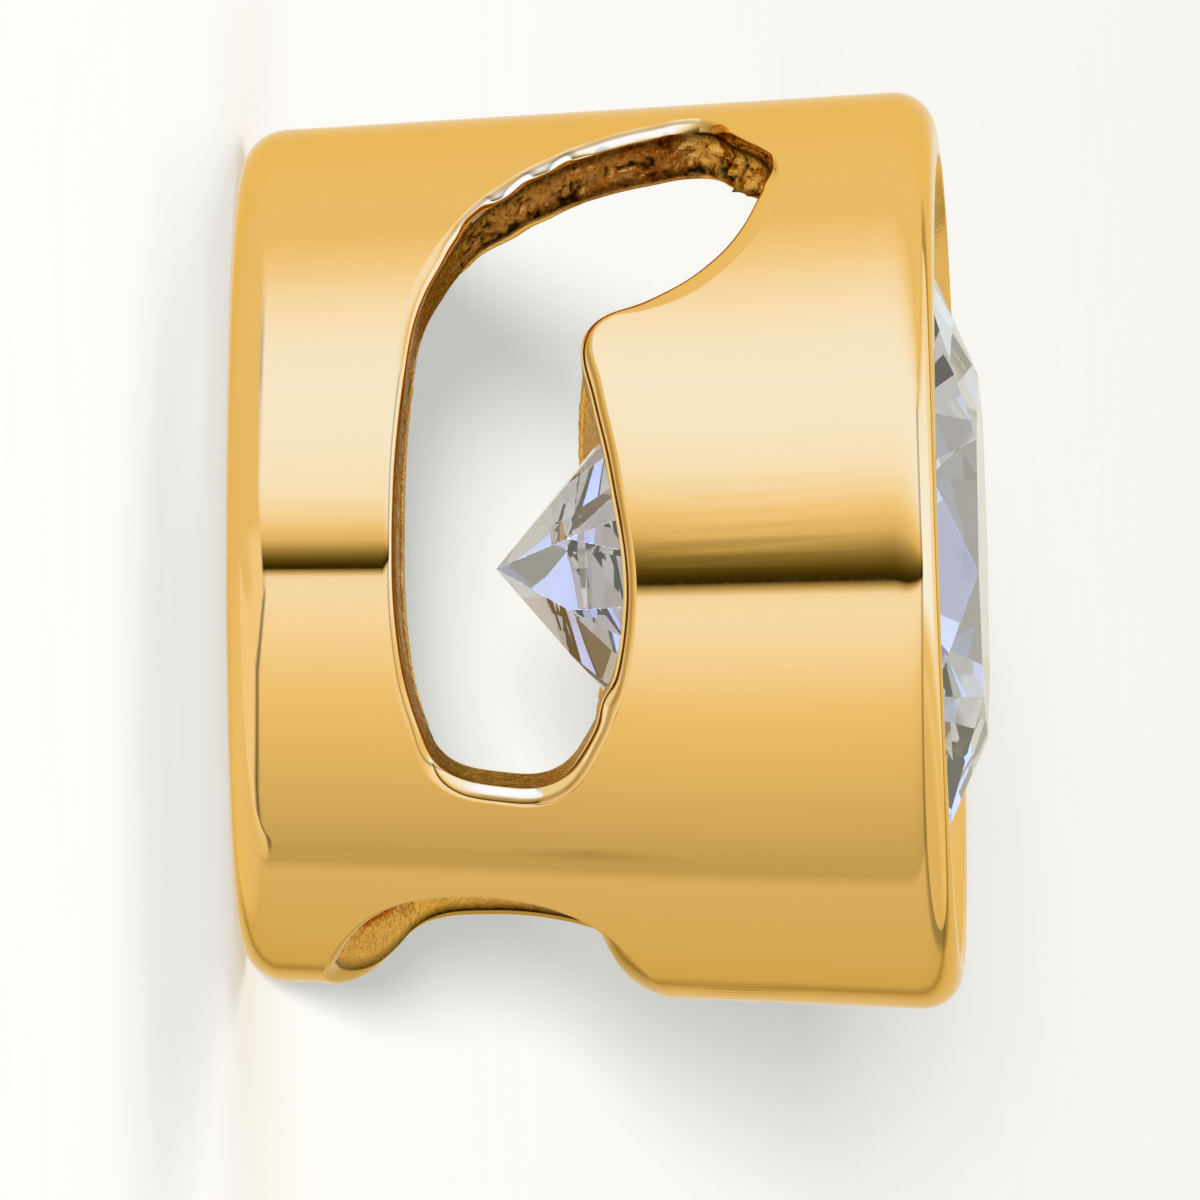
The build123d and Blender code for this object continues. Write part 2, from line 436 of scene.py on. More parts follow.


# %% [markdown]
# ## Where the casting stays rough
# The polisher's felt reaches the outside and the edges of the openings. The roof of each window,
# near the wearer's top, is out of reach, and so is the wall of the notch. They still have the
# worm-like skin of the casting, so a noise pushes their rings about. Shade is painted into the
# colour of the gold as a brown: in the hollows of that skin, on the walls of the openings, just
# below each bevel, at its foot and as a thin dark line on it. A pale band along the bevel is a
# painted highlight. How much painted shade and how much painted highlight lie at a point are kept
# as two attributes for the materials.

# %% Piercing
squareness = 0.4
square_from = 15
nose_set_back = 0.8
grain, pit_depth, worm_level = 0.11, 0.13, 0.45
fold_length, fold_depth = 0.3, 0.12
notch_rough, wall_rough, nose_rough = 0.25, 0.22, 0.1
brow_heights, brow_from = (1.75, 2.05), (34, 26)
# Strength of the painted highlight on the roof's bevel
roof_highlight = 0.85
# Amounts of painted shade, a brown mixed into the gold: below the bevel, on it, at its foot, on the walls and
# in the hollows
shade_below_bevel = 0.3
bevel_shade_line, bevel_foot_shade, tip_shade, notch_edge_shade = 0.45, 0.7, 0.5, 0.35
wall_shade, roof_shade_less, roof_foot_shade = 0.55, 0.48, 0.6
hollow_level, hollow_gain, hollow_shade_cap = 1.35, 4, 0.9
painted_shade = strip.verts.layers.float.new("painted_shade")
painted_highlight = strip.verts.layers.float.new("painted_highlight")


def roughness_of(name, loop):
    """How rough the wall is, and how strong the painted highlight on its edge is, at each point from 0 to 1.
    """
    if name == "notch":
        return np.full(len(loop), notch_rough), np.zeros(len(loop))
    nose, roof, tip = zones(name, loop)
    rough = wall_rough + (1 - wall_rough) * roof
    rough = rough * (1 - nose) + nose_rough * nose
    brow = between(loop[:, 1], *brow_heights) * between(angles_of(name, loop), *brow_from)
    return rough, np.maximum(brow, roof_highlight * roof * (1 - tip))


def cut_square(name, loop, flat, depth):
    """Shifts a ring so that the lower wall of a window runs in straight, along the chain."""
    if name == "notch":
        return np.zeros(len(loop))
    start = (outer_radius(loop[:, 1]) - edge_width) / (outer_radius(loop[:, 1]) - depth)
    angles = flat[:, 0] / flat_radius + (pi if name == "far window" else 0)
    lower = np.clip(np.degrees(-angles if name == "near window" else angles) / square_from, 0, 1)
    square = np.arcsin(np.clip(start * np.sin(angles), -1, 1))
    return (square - angles) * flat_radius * lower * squareness


outer_edges, bore_edges = [], []
for name, loop in loops.items():
    if name == "far window":
        loop = loop - into_hole(loop) * edge_width
    elif name == "near window":
        loop = loop - into_hole(loop) * (zones(name, loop)[0] * nose_set_back * nose_edge_width)[:, None]
    row, edges = vertex_ring(loop, 0)
    outer_edges += edges
    rough, highlight_strength = roughness_of(name, loop)
    nose, roof, tip = zones(name, loop)
    roof, tip = (roof, tip) if name != "notch" else (0 * roof, 0 * tip)
    # Painted shade: a base darkening of the window walls, less on the roofs, none in the notch
    wall_shade_base = 0 * roof if name == "notch" else wall_shade - roof_shade_less * roof
    # The share counts from 0 where a part of the wall begins to 1 where it ends
    for part, ring, depth, share in ring_places(name, loop):
        flat = ring.copy()
        shade_amount = np.zeros(len(ring))
        highlight_share = 0 * highlight_strength
        if part == "edge":
            # Painted highlight: a pale band across the middle of the bevel
            highlight_share = highlight_strength * between(share, 0.4, 0.52) * between(share, 0.98, 0.85)
            # Painted shade on the bevel: a dark line near its outer side, a darker foot, more at the roof's
            # tip and the notch's outer side
            line = between(share, 0.2, 0.33) * between(share, 0.5, 0.4)
            shade_amount = bevel_shade_line * highlight_strength * line + bevel_foot_shade * between(share, 0.85, 1.0)
            shade_amount = shade_amount + tip_shade * tip * between(share, 0.2, 0.6)
            if name == "notch":
                shade_amount = shade_amount + notch_edge_shade * between(share, 0.05, 0.3)
        if part == "wall":
            inward = into_hole(ring)
            for i, (x, y) in enumerate(ring):
                worms = noise.turbulence(Vector((x, y, depth * 1.2)) / grain, 3, True)
                folds = noise.noise(Vector((x + depth, y - depth, depth)) / fold_length)
                bumps = (worms - worm_level) * pit_depth * (0.4 + 0.6 * tip[i]) + folds * fold_depth * tip[i]
                flat[i] += inward[i] * bumps * min(1, 3 * share) * rough[i]
                # Painted shade on the wall: deeper in the hollows of the skin, at the roof's foot and just
                # below the bevel
                hollow = hollow_level - hollow_gain * worms - folds
                shade_amount[i] = wall_shade_base[i] + rough[i] * min(hollow_shade_cap, max(0.0, hollow))
                shade_amount[i] += roof[i] * roof_foot_shade * between(share, 0.7, 0.9)
            shade_amount = np.clip(np.maximum(shade_amount, (shade_below_bevel - share) / shade_below_bevel), 0, 1)
        if part != "edge":
            flat[:, 0] += cut_square(name, loop, ring, depth)
        places = [(x, y, -depth) for x, y in flat]
        paint = POLISHED if part == "edge" else CAST
        row, edges = extrude_row(row, edges, places, paint)
        for i, vert in enumerate(row):
            vert[painted_shade] = shade_amount[i]
            vert[painted_highlight] = highlight_share[i]
    bore_edges += edges
print("with the openings:", len(strip.faces), "faces")

# %% [markdown]
# The two ends are extruded from the long edges in the same way, and then the outside and the
# bore are filled between all these edges.

# %% Ends and plates
corners = {}
for end, profile in (("back", back_profile), ("front", front_profile)):
    row = [strip.verts.new((x, profile[0][0], -profile[0][1])) for x in bends]
    edges = [strip.edges.new(pair) for pair in zip(row, row[1:])]
    corners[end, "outside"] = (row[0], row[-1])
    outer_edges += edges
    for number, (height, depth) in enumerate(profile[1:]):
        paint = POLISHED if number < rim_steps + 2 else BORE
        row, edges = extrude_row(row, edges, [(x, height, -depth) for x in bends], paint)
    corners[end, "bore"] = (row[0], row[-1])
    bore_edges += edges
for place, edges in (("outside", outer_edges), ("bore", bore_edges)):
    edges += [strip.edges.new(pair) for pair in zip(corners["back", place], corners["front", place])]
for edges, side, paint in ((outer_edges, OUTSIDE, POLISHED), (bore_edges, INSIDE, BORE)):
    made = bmesh.ops.triangle_fill(strip, edges=edges, use_beauty=True, use_dissolve=False, normal=(0, 0, 1))
    for item in made["geom"]:
        if isinstance(item, bmesh.types.BMFace):
            item[plate_side] = side
            item.material_index = paint
print("with both sides filled:", len(strip.faces), "faces")

# %% [markdown]
# ## Rolling it up
# Planes cut the whole strip every two degrees, so that it bends into a round tube. Each vertex
# keeps the normal that it had in the flat, bent in the same way, because a mirror polish shows
# every flaw in a normal. At the end the two edges of the strip meet at the wearer's top, and
# their doubles are merged, as the goldsmith closes the seam.

# %% Rolling
for bend in bends[1:-1]:
    faces = [f for f in strip.faces if f[plate_side]]
    edges = {e for f in faces for e in f.edges}
    verts = {v for e in edges for v in e.verts}
    bmesh.ops.bisect_plane(
        strip, geom=[*verts, *edges, *faces], dist=1e-5, plane_co=(bend, 0, 0), plane_no=(1, 0, 0)
    )
bmesh.ops.recalc_face_normals(strip, faces=strip.faces)
outer_face = next(f for f in strip.faces if f[plate_side] == OUTSIDE)
if outer_face.normal.z < 0:
    bmesh.ops.reverse_faces(strip, faces=strip.faces)
strip.normal_update()
bent_normal = strip.verts.layers.float_vector.new("bent normal")
points = np.array([v.co[:] for v in strip.verts])
normals = np.array([v.normal[:] for v in strip.verts])
for i, vert in enumerate(strip.verts):
    sides = [f[plate_side] for f in vert.link_faces if f[plate_side]]
    if sides:
        normals[i] = (0, 0, sides[0])
bent = rolled_normals(points, normals)
for vert, place, normal in zip(strip.verts, roll(points), bent):
    vert.co = Vector(place) * MM
    vert[bent_normal] = Vector(normal)
bmesh.ops.remove_doubles(strip, verts=strip.verts, dist=2e-8)
bmesh.ops.recalc_face_normals(strip, faces=strip.faces)
bmesh.ops.triangulate(strip, faces=strip.faces)
open_edges = [e for e in strip.edges if len(e.link_faces) != 2]
print("rolled:", len(strip.faces), "triangles,", len(open_edges), "open edges")
print("gold in mm3:", round(strip.calc_volume() / MM ** 3, 2))

# %% [markdown]
# The mesh goes into an object, which takes the place of the plain solid and rides on the
# pendant's one body. The kept normals become the mesh's own.

# %% Barrel object
def new_object(name, bm, materials):
    """Turns a bmesh into an object of this name, smooth shaded, with these materials."""
    mesh = bpy.data.meshes.new(name)
    bm.to_mesh(mesh)
    bm.free()
    for material in materials:
        mesh.materials.append(material)
    mesh.shade_smooth()
    piece = bpy.data.objects.new(name, mesh)
    bpy.context.scene.collection.objects.link(piece)
    return piece


polished_gold = bpy.data.materials.new("polished 14 carat gold")
cast_gold = bpy.data.materials.new("gold as cast")
bore_gold = bpy.data.materials.new("tumbled gold in the bore")
barrel = new_object("gold_barrel", strip, [polished_gold, cast_gold, bore_gold])
values = np.empty(len(barrel.data.vertices) * 3, dtype=np.float32)
barrel.data.attributes["bent normal"].data.foreach_get("vector", values)
barrel.data.normals_split_custom_set_from_vertices(values.reshape(-1, 3))
barrel.data.attributes.remove(barrel.data.attributes["bent normal"])
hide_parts("slide_barrel")
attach(barrel, "root")

# %% [markdown]
# ## The stone
# A round brilliant has a flat table on top, a crown that slopes down to the edge, which is called
# the girdle, and below it the pavilion that ends in a point. A cutter knows it by two angles and
# a few shares, and all the corners of the facets follow from these.

# %% Stone sizes
table_radius = 1.45
crown_angle = radians(25.8)
pavilion_angle = radians(40.9)
star_reach = 0.56
lower_half_reach = 0.77
stone_turn = 5.0
half_step = 22.5
crown_height = (stone_radius - table_radius) * tan(crown_angle)
pavilion_depth = stone_radius * tan(pavilion_angle)
table_height = girdle_thickness + crown_height
star_edge = table_radius * cos(radians(half_step))
star_tip_radius = star_edge + star_reach * (stone_radius - star_edge)
star_tip_drop = (stone_radius - star_tip_radius * cos(radians(half_step))) * tan(crown_angle)
lower_tip_radius = stone_radius * (1 - lower_half_reach)
lower_tip_drop = (stone_radius - lower_tip_radius * cos(radians(half_step))) * tan(pavilion_angle)


def stone_point(radius, angle, height):
    """A point in the stone's own frame, at height 0 on the girdle's lower edge."""
    turned = radians(angle + stone_turn)
    return Vector((radius * cos(turned), radius * sin(turned), height))


# %% [markdown]
# The stone is cut from a disc one facet at a time, as on the wheel: each cut takes off what is
# outside its plane and closes the cut with one flat face. Eight kites, eight stars and sixteen
# upper halves make the crown, with the table left at the top. Eight mains and sixteen lower
# halves make the pavilion. Then every edge gets a bevel of a few hundredths of a millimetre,
# which catches a thin white line, as the slightly worn edge of a real facet does.

# %% Stone cutting
edge_wear = 0.026
gem = bmesh.new()
bmesh.ops.create_cone(
    gem, cap_ends=True, segments=128, radius1=stone_radius, radius2=stone_radius,
    depth=pavilion_depth + table_height,
)
bmesh.ops.translate(gem, verts=gem.verts, vec=(0, 0, (table_height - pavilion_depth) / 2))


def cut_facet(first, second, third):
    """Cuts the stone by the plane through three points and closes the cut."""
    normal = (second - first).cross(third - first).normalized()
    if normal.dot(first - Vector((0, 0, table_height / 2))) < 0:
        normal.negate()
    made = bmesh.ops.bisect_plane(
        gem, geom=gem.verts[:] + gem.edges[:] + gem.faces[:], dist=1e-5,
        plane_co=first, plane_no=normal, clear_outer=True,
    )
    rim = [e for e in made["geom_cut"] if isinstance(e, bmesh.types.BMEdge) and e.is_boundary]
    if rim:
        bmesh.ops.contextual_create(gem, geom=rim)


for step in range(8):
    middle = step * 2 * half_step
    table_corner = stone_point(table_radius, middle, table_height)
    next_corner = stone_point(table_radius, middle + 2 * half_step, table_height)
    star_tips, lower_tips = {}, {}
    for side in (-1, 1):
        ridge = middle + side * half_step
        star_tips[side] = stone_point(star_tip_radius, ridge, girdle_thickness + star_tip_drop)
        lower_tips[side] = stone_point(lower_tip_radius, ridge, -lower_tip_drop)
        for height, tip in ((girdle_thickness, star_tips[side]), (0, lower_tips[side])):
            foot, ridge_foot = (stone_point(stone_radius, angle, height) for angle in (middle, ridge))
            cut_facet(foot, ridge_foot, tip)
    cut_facet(table_corner, star_tips[1], star_tips[-1])
    cut_facet(table_corner, next_corner, star_tips[1])
    cut_facet(stone_point(0, 0, -pavilion_depth), lower_tips[1], lower_tips[-1])
bmesh.ops.remove_doubles(gem, verts=gem.verts, dist=1e-4)
bmesh.ops.recalc_face_normals(gem, faces=gem.faces)
rounded = bmesh.ops.bevel(
    gem, geom=gem.edges[:], offset=edge_wear, segments=1, profile=0.5, affect="EDGES", clamp_overlap=True,
    material=-1,
)
for face in rounded["faces"]:
    face.material_index = 1
seat_place = Matrix.Translation((stone_offset * MM, 0, stone_height * MM))
bmesh.ops.scale(gem, verts=gem.verts, vec=(MM, MM, MM))
bmesh.ops.transform(gem, matrix=seat_place @ Matrix.Rotation(-atan(stone_tilt), 4, "Y"), verts=gem.verts)
open_edges = [e for e in gem.edges if len(e.link_faces) != 2]
print("stone:", len(gem.faces), "faces,", len(open_edges), "open edges")
print("stone in mm3:", round(gem.calc_volume() / MM ** 3, 2))
clear_stone = bpy.data.materials.new("cut cubic zirconia")
worn_edges = bpy.data.materials.new("worn edges of the facets")
stone = new_object("cut_stone", gem, [clear_stone, worn_edges])
stone.data.shade_flat()
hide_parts("round_stone")
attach(stone, "root")

# %% [markdown]
# ## Polished gold
# Gold is a metal, so its colour is the colour of its reflections. Polished 14 carat yellow gold
# is nearly a mirror: what gives it away are the deep amber darks and the pale yellow lights.
# Hand polishing leaves slow waves that bend a reflection a little, and a haze of fine scratches.
# A pale cream band on the bevels is a painted highlight. The same gold, as cast, scatters more,
# and its colour is deeper, because its bumps mirror one another. Where painted shade lies on it,
# its colour is deepened and mixed towards brown.

# %% Gold
GOLD = linear("#FBCB79")
GOLD_AT_EDGE = linear("#FDE8B6")
# Pale cream of the painted highlight on the bevels
PAINTED_HIGHLIGHT_CREAM = linear("#FFE0A4")
TWICE_MIRRORED = linear("#F8BE5C")
# Brown of the painted shade
PAINTED_SHADE_BROWN = linear("#2E2008")
wave_length = 2.2
scratch_spacing = 0.05
# How far painted shade deepens the gold's colour
shade_deepening = 1.4


def make_gold(material, colour, polish, haze, wave, pits, soil=0.0):
    """Fills a gold: roughness, how much that varies, slow waves, small pits, the soil in them, and the
    painted highlight and painted shade.
    """
    material.use_nodes = True
    tree = material.node_tree
    shader = tree.nodes["Principled BSDF"]
    shader.inputs["Metallic"].default_value = 1.0
    shader.inputs["Specular Tint"].default_value = GOLD_AT_EDGE
    place = add(tree, "ShaderNodeTexCoord").outputs["Object"]
    scratches = add(tree, "ShaderNodeTexNoise", Vector=place, Scale=1 / (scratch_spacing * MM), Detail=3.0)
    gloss = add(
        tree, "ShaderNodeMapRange", Value=scratches.outputs["Fac"], From_Min=0.3, From_Max=0.75,
        To_Min=polish, To_Max=polish + haze,
    )
    tree.links.new(gloss.outputs["Result"], shader.inputs["Roughness"])
    waves = add(tree, "ShaderNodeTexNoise", Vector=place, Scale=1 / (wave_length * MM), Detail=1.0)
    slow = add(tree, "ShaderNodeBump", Strength=1.0, Distance=wave * MM, Height=waves.outputs["Fac"])
    fine = add(
        tree, "ShaderNodeBump", Strength=1.0, Distance=pits * MM, Height=scratches.outputs["Fac"],
        Normal=slow.outputs["Normal"],
    )
    tree.links.new(fine.outputs["Normal"], shader.inputs["Normal"])
    # The painted highlight pales the colour towards cream
    highlight_share = add(tree, "ShaderNodeAttribute", {"attribute_name": "painted_highlight"})
    shade_amount = add(tree, "ShaderNodeAttribute", {"attribute_name": "painted_shade"})
    bright = add(
        tree, "ShaderNodeMix", {"data_type": "RGBA"}, i0=highlight_share.outputs["Fac"], i6=colour, i7=PAINTED_HIGHLIGHT_CREAM
    )
    specks = add(
        tree, "ShaderNodeMapRange", Value=scratches.outputs["Fac"], From_Min=0.6, From_Max=0.4,
        To_Min=0.0, To_Max=soil,
    )
    # Painted shade, with the specks of soil added, deepens the colour and mixes it towards brown
    shade_and_specks = add(
        tree, "ShaderNodeMath", {"use_clamp": True}, i0=shade_amount.outputs["Fac"], i1=specks.outputs["Result"]
    )
    depth = add(tree, "ShaderNodeMapRange", Value=shade_and_specks.outputs[0], To_Min=1.0, To_Max=shade_deepening)
    deepened_colour = add(tree, "ShaderNodeGamma", Color=bright.outputs[2], Gamma=depth.outputs["Result"])
    with_painted_shade = add(
        tree, "ShaderNodeMix", {"data_type": "RGBA"}, i0=shade_and_specks.outputs[0], i6=deepened_colour.outputs["Color"], i7=PAINTED_SHADE_BROWN
    )
    tree.links.new(with_painted_shade.outputs[2], shader.inputs["Base Color"])


make_gold(polished_gold, GOLD, polish=0.01, haze=0.05, wave=0.0035, pits=0.0)
make_gold(cast_gold, TWICE_MIRRORED, polish=0.15, haze=0.2, wave=0.0, pits=0.016, soil=0.12)
make_gold(bore_gold, GOLD, polish=0.12, haze=0.15, wave=0.01, pits=0.003)
print("golds:", [material.name for material in barrel.data.materials])

# %% [markdown]
# ## Cut cubic zirconia
# Cubic zirconia bends light almost as much as diamond does, so each facet shows another piece of
# the room, far from where the eye expects it. The stone is clear, and its colour goes from a faint
# mauve grey low in the stone to a paler blue grey near the crown. The lap that polished it leaves
# facets a little uneven, which blurs some of them.
# The worn edges between the facets scatter light and look white. The gold is hidden from rays
# that pass through the stone, which leaves the facets white and grey, as in the photograph,
# without the yellow that the setting would lend them.

# %% Stone material
zirconia_ior = 2.15
lap_spacing = 0.15
tint_low, tint_high = 4.6, 5.1
barrel.visible_transmission = False
clear_stone.use_nodes = True
tree = clear_stone.node_tree
shader = tree.nodes["Principled BSDF"]
shader.inputs["Transmission Weight"].default_value = 1.0
shader.inputs["IOR"].default_value = zirconia_ior
place = add(tree, "ShaderNodeTexCoord").outputs["Object"]
height = add(tree, "ShaderNodeSeparateXYZ", Vector=place).outputs["Z"]
# Colour by height: mauve grey low in the stone, paler blue grey near the crown
upward = add(tree, "ShaderNodeMapRange", Value=height, From_Min=tint_low * MM, From_Max=tint_high * MM)
tint = add(
    tree, "ShaderNodeMix", {"data_type": "RGBA"}, i0=upward.outputs["Result"], i6=linear("#C4BCC4"),
    i7=linear("#DCE6E6"),
)
tree.links.new(tint.outputs[2], shader.inputs["Base Color"])
laps = add(tree, "ShaderNodeTexNoise", Vector=place, Scale=1 / (lap_spacing * MM), Detail=2.0)
gloss = add(
    tree, "ShaderNodeMapRange", Value=laps.outputs["Fac"], From_Min=0.5, From_Max=0.8, To_Min=0.0, To_Max=0.04
)
tree.links.new(gloss.outputs["Result"], shader.inputs["Roughness"])
worn_edges.use_nodes = True
shader = worn_edges.node_tree.nodes["Principled BSDF"]
shader.inputs["Base Color"].default_value = linear("#F4F6FA")
shader.inputs["Transmission Weight"].default_value = 0.4
shader.inputs["Roughness"].default_value = 0.3
shader.inputs["IOR"].default_value = zirconia_ior

# %% [markdown]
# ## Studio
# The pendant stands on a large sheet of white paper, which is also the background. The camera
# looks along the paper, so a lamp that grazes it throws the soft grey halo behind the pendant,
# and a second one from behind throws the part on the left. Both lamps stand three metres away,
# or the paper would be much brighter near them. They are tinted and the paper is warm, which
# together gives the off-white of the photograph. The Standard view shows colours as they are
# worked out here. The paper and the lamps are kept out of the gold's reflections.

# %% Studio
LAMP_COLOUR = (0.94, 1.0, 1.35)
scene = bpy.context.scene
scene.view_settings.view_transform = "Standard"
floor = bmesh.new()
half_sheet = 1.2
fibre_spacing = 2.0
bmesh.ops.create_grid(floor, x_segments=1, y_segments=1, size=half_sheet)
paper = bpy.data.materials.new("white paper")
paper.use_nodes = True
tree = paper.node_tree
shader = tree.nodes["Principled BSDF"]
shader.inputs["Roughness"].default_value = 0.9
shader.inputs["Specular IOR Level"].default_value = 0.0
place = add(tree, "ShaderNodeTexCoord").outputs["Object"]
fibres = add(tree, "ShaderNodeTexNoise", Vector=place, Scale=1 / (fibre_spacing * MM), Detail=3.0)
sheet = add(
    tree, "ShaderNodeMix", {"data_type": "RGBA"}, i0=fibres.outputs["Fac"], i6=linear("#B1AB90"),
    i7=linear("#B4AC92"),
)
tree.links.new(sheet.outputs[2], shader.inputs["Base Color"])
ground = new_object("floor", floor, [paper])
ground.visible_glossy = False


def lamp(name, distance, azimuth, elevation, radius, power):
    """A round soft light that faces the pendant and isn't seen in its mirror surfaces."""
    data = bpy.data.lights.new(name, "AREA")
    data.shape = "DISK"
    data.size = 2 * radius * MM
    data.energy = power
    data.color = LAMP_COLOUR
    light = bpy.data.objects.new(name, data)
    turned, raised = radians(azimuth), radians(elevation)
    out = Vector((sin(turned) * cos(raised), -cos(turned) * cos(raised), sin(raised)))
    centre = Vector((0, 0, barrel_length / 2))
    stand = Matrix.Translation((centre + out * distance) * MM)
    light.matrix_world = stand @ out.to_track_quat("Z", "Y").to_matrix().to_4x4()
    light.visible_glossy = False
    light.visible_camera = False
    light.visible_transmission = False
    scene.collection.objects.link(light)


lamp("front fill", distance=3000, azimuth=-1.0, elevation=1.7, radius=32, power=3070)
lamp("back light", distance=3000, azimuth=-174, elevation=19, radius=300, power=110)
print("lamps:", [light.name for light in bpy.data.lights])

# %% [markdown]
# ## What the gold mirrors
# A photographer lights a polished tube by what stands round it, because the metal shows the room
# and not the lamp. Seen from the object, a large soft box fills the side of the wearer's top,
# a black card beside the lens draws the one sharp dark line, a softer card lights the lower
# half, and a small soft box over the stone lights the rims. All of it is painted on the world,
# by direction, so that it also shines on the floor.
#
# A camera rolls bright colours off to a pale cream instead of clipping them. The Standard view
# doesn't, so each card is coloured backwards: the function works out how gold should look in
# it and divides that by the gold's own colour.

# %% Cards
brightest = 5.0
CREAM = (1.0, 1.0, 0.85)
toe, shoulder, ceiling, paling = 0.04, 0.76, 0.945, 0.25


def card(level):
    """Colour of a card in which gold shows as a camera's soft highlights would show this level."""
    shades = [level * c for c in GOLD[:3]]
    darkest = min(shades)
    lift = darkest - darkest ** 2 / (4 * toe) if darkest < 2 * toe else toe
    shades = [c - lift for c in shades]
    peak = max(shades)
    if peak > shoulder:
        room_left = ceiling - shoulder
        soft_peak = ceiling - room_left ** 2 / (peak - shoulder + room_left)
        pale = 1 - 1 / (paling * (peak - soft_peak) + 1)
        shades = [c * soft_peak / peak * (1 - pale) + soft_peak * pale * t for c, t in zip(shades, CREAM)]
    return [c / gold / brightest for c, gold in zip(shades, GOLD)] + [1.0]


print("cards of level 1 and 5:", [round(c, 2) for c in card(1)[:3]], [round(c, 2) for c in card(5)[:3]])

# %% [markdown]
# The world's material is a chain of colour ramps. Small functions keep it readable: a ramp of
# cards along a value, a ramp of shares for a mask, a dark line laid over a room, a choice
# between two rooms, and what the nodes reckon from a direction.

# %% Ramps
world = bpy.data.worlds.new("studio")
scene.world = world
world.use_nodes = True
tree = world.node_tree
tree.nodes.clear()


def ramp_along(value, start, end, stops):
    """Colours that follow a value from start to end through stops of (value, colour)."""
    share = add(tree, "ShaderNodeMapRange", Value=value, From_Min=start, From_Max=end)
    ramp = add(tree, "ShaderNodeValToRGB", Fac=share.outputs["Result"])
    elements = ramp.color_ramp.elements
    elements.remove(elements[1])
    for number, (place, colour) in enumerate(stops):
        spot = (place - start) / (end - start)
        element = elements[0] if number == 0 else elements.new(spot)
        element.position = spot
        element.color = colour
    return ramp.outputs["Color"]


def cards_along(value, start, end, stops):
    """Cards of these levels along a value."""
    return ramp_along(value, start, end, [(place, card(level)) for place, level in stops])


def mask_along(value, start, end, stops):
    """A mask of these shares along a value."""
    return ramp_along(value, start, end, [(place, [share, share, share, 1.0]) for place, share in stops])


def darkened(room, line, share):
    """The room multiplied by a dark line, where its share lets it."""
    settings = {"data_type": "RGBA", "blend_type": "MULTIPLY"}
    return add(tree, "ShaderNodeMix", settings, i0=share, i6=room, i7=line).outputs[2]


def masked(mask, below, above):
    """One room where the mask is 0 and the other where it is 1."""
    return add(tree, "ShaderNodeMix", {"data_type": "RGBA"}, i0=mask, i6=below, i7=above).outputs[2]


def reckoned(operation, *values):
    """The result of a Math node with these numbers or sockets."""
    inputs = {f"i{i}": value for i, value in enumerate(values)}
    return add(tree, "ShaderNodeMath", {"operation": operation}, **inputs).outputs[0]


def along_axis(axis):
    """How far the direction points along this axis."""
    settings = {"operation": "DOT_PRODUCT"}
    return add(tree, "ShaderNodeVectorMath", settings, i0=direction, i1=axis).outputs["Value"]


def round_the_tube(stops):
    """A mask whose stops are given in degrees round the tube."""
    return mask_along(turned, -pi, pi, [(radians(angle), share) for angle, share in stops])


# %% [markdown]
# Most of the room changes with the angle round the tube: 0 is towards the camera, positive angles
# are on the side of the wearer's top, and the gold shows twice the angle at which its wall
# stands. From below upwards come the soft lower card, the black card, whose edge at -7 degrees is
# sharp and whose upper side fades, and the large soft box. Low directions are turned a little,
# so that the lines of the wall run on straight over the round of the back rim.

# %% Round the tube
line_bend = 0.148
direction = add(tree, "ShaderNodeTexCoord").outputs["Generated"]
axes = add(tree, "ShaderNodeSeparateXYZ", Vector=direction).outputs
wearer_up = reckoned("MULTIPLY", axes["X"], -1.0)
forward = reckoned("MULTIPLY", axes["Y"], -1.0)
azimuth = reckoned("ARCTAN2", wearer_up, forward)
bend = reckoned("MULTIPLY_ADD", reckoned("MINIMUM", axes["Z"], 0.0), line_bend, 1.0)
turned = reckoned("MULTIPLY", azimuth, bend)
around = cards_along(turned, -pi, pi, [
    (radians(angle), light) for angle, light in (
        (-180, 0.84), (-158, 0.79), (-152, 0.64), (-149, 0.46), (-143, 0.7), (-94, 0.77), (-90, 0.6),
        (-84, 0.63), (-49, 0.88), (-38, 1.05), (-27, 1.8), (-14, 2.9), (-9.0, 2.7), (-7.45, 1.5), (-7.1, 0.8),
        (-6.9, 0.25), (-6.7, 0.012), (-4.5, 0.05), (-2, 0.17), (1, 0.43), (4, 0.78), (8.7, 1.2), (13, 2.2),
        (20, 4.4), (33, 6.8), (45, 7.2), (56, 6.0), (70, 3.0), (82, 1.4), (92, 0.97), (97, 0.9), (105, 0.94),
    )
])

# %% [markdown]
# Over the stone hangs a small soft box, drawn as two overlapping discs of directions. It is
# brightest in the middle and dimmer at the far side, and a grey edge round it draws the line
# along the front rim.

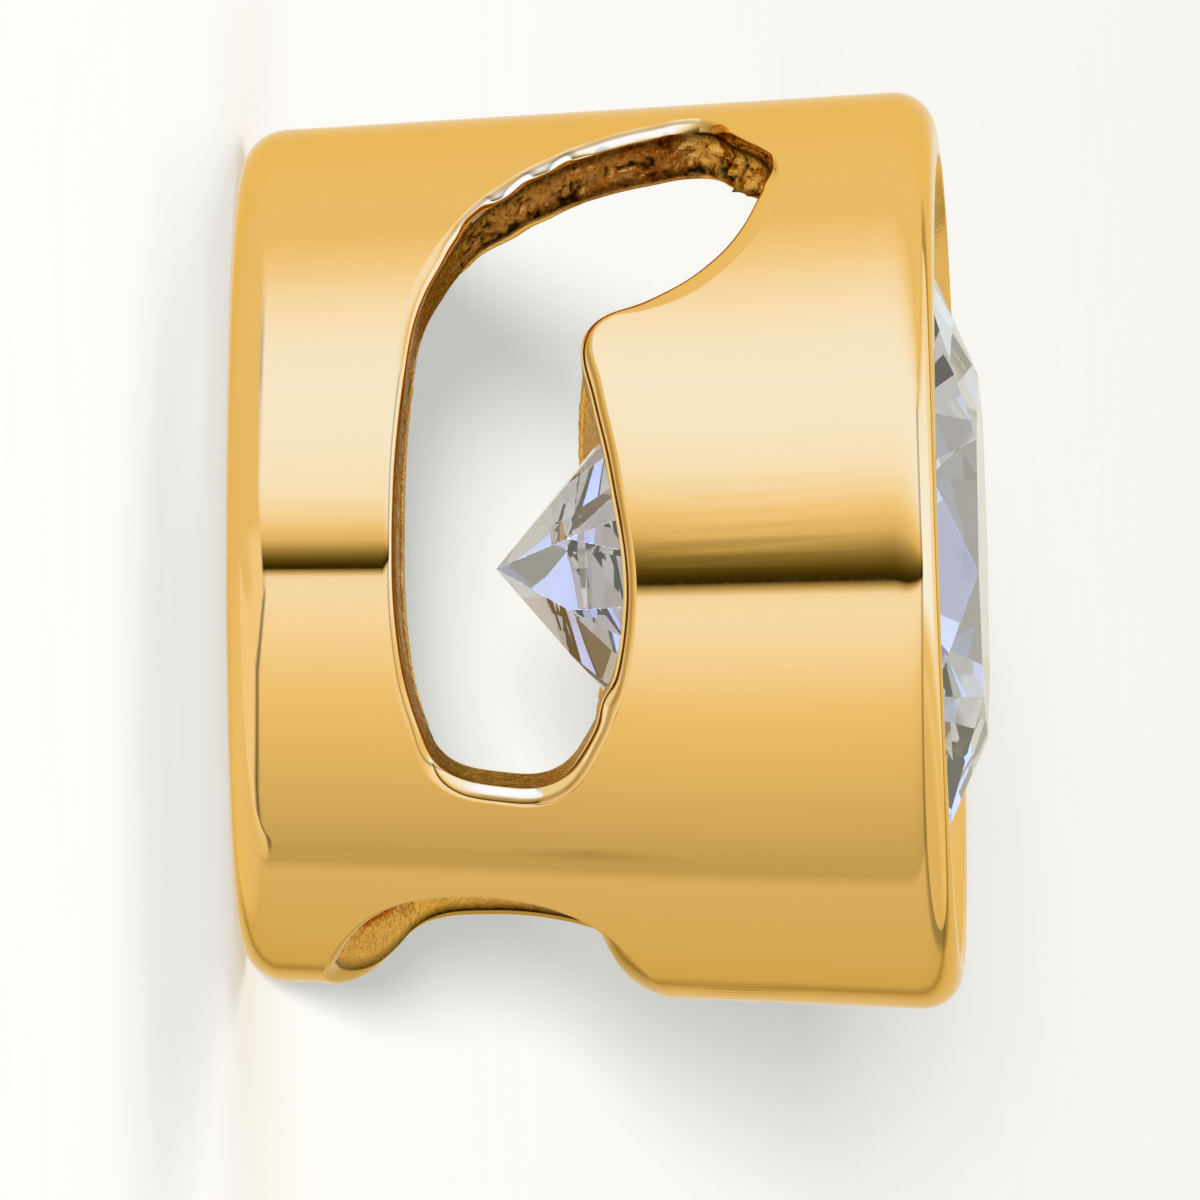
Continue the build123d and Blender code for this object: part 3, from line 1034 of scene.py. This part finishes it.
# %% Over the stone
upper_disc = (-0.1, 0.274, 0.962)
lower_disc = (0.33, 0.274, 0.962)
toward_stone = reckoned("MAXIMUM", along_axis(upper_disc), along_axis(lower_disc))
stone_box = cards_along(axes["X"], -1, 1, [
    (-0.5, 1.0), (-0.46, 0.8), (-0.41, 1.2), (-0.35, 5.5), (-0.25, 7), (0.0, 15), (0.07, 12), (0.12, 3.0),
    (0.18, 1.0), (0.26, 0.9), (0.33, 1.1), (0.4, 0.9), (0.5, 0.8),
])
deep = mask_along(axes["Y"], -1, 1, [(0.35, 0), (0.5, 1)])
stone_box = add(
    tree, "ShaderNodeMix", {"data_type": "RGBA", "blend_type": "DARKEN"}, i0=deep, i6=stone_box, i7=card(2.5)
).outputs[2]
rim_line = mask_along(toward_stone, 0, 1, [(0.78, 1), (0.83, 0.55), (0.87, 0.5), (0.88, 1)])
rim_share = mask_along(axes["X"], -1, 1, [(-0.46, 0), (-0.4, 1)])
box_share = mask_along(toward_stone, 0, 1, [(0.87, 0), (0.88, 1)])
lined = darkened(around, rim_line, rim_share)

# %% [markdown]
# The round of the back rim faces down, so it mirrors the low part of the room, which is open
# because the paper isn't mirrored. A plain card fills it up to a height that changes round the
# tube, and a dark line runs along the card's edge: this is the line that the eye sees beside
# the rim, strong below the black card's reflection and faint above it.

# %% Below the back rim
reach = round_the_tube((
    (-92, 0.5), (-90, 0.3), (-86, 0.25), (-82, 0.3), (-79, 0.6), (-70, 0.66), (-35, 0.65), (-14, 0.35),
    (-4, 0.4), (20, 0.55), (50, 0.52), (75, 0.45), (90, 0.4), (110, 0.5),
))
lowness = reckoned("ADD", axes["Z"], reach)
below_share = mask_along(lowness, -1, 1, [(-0.05, 1), (0.05, 0)])
upper_below = cards_along(axes["X"], -1, 1, [(-1, 0.92), (0, 0.87), (0.3, 0.98), (1, 0.8)])
lower_below = cards_along(lowness, -1, 1, [(-0.65, 0.85), (-0.48, 0.9), (-0.36, 1.3), (-0.2, 1.35)])
lower_share = round_the_tube(((-88, 0), (-80, 1), (4, 1), (12, 0)))
below = masked(lower_share, upper_below, lower_below)
low_line = mask_along(lowness, -1, 1, [(-0.27, 1), (-0.15, 0.12), (0.05, 0.12), (0.16, 1)])
low_line_share = round_the_tube((
    (-88, 0), (-84, 0.9), (-16, 0.9), (-10, 0.3), (10, 0), (25, 0.08), (40, 0.25), (50, 0.55), (60, 0.5),
    (75, 0.12), (85, 0),
))
lined = darkened(lined, low_line, low_line_share)
room = masked(below_share, masked(box_share, lined, stone_box), below)
background = add(tree, "ShaderNodeBackground", Color=room, Strength=brightest)
add(tree, "ShaderNodeOutputWorld", Surface=background.outputs[0])
print("nodes in the world:", len(tree.nodes))
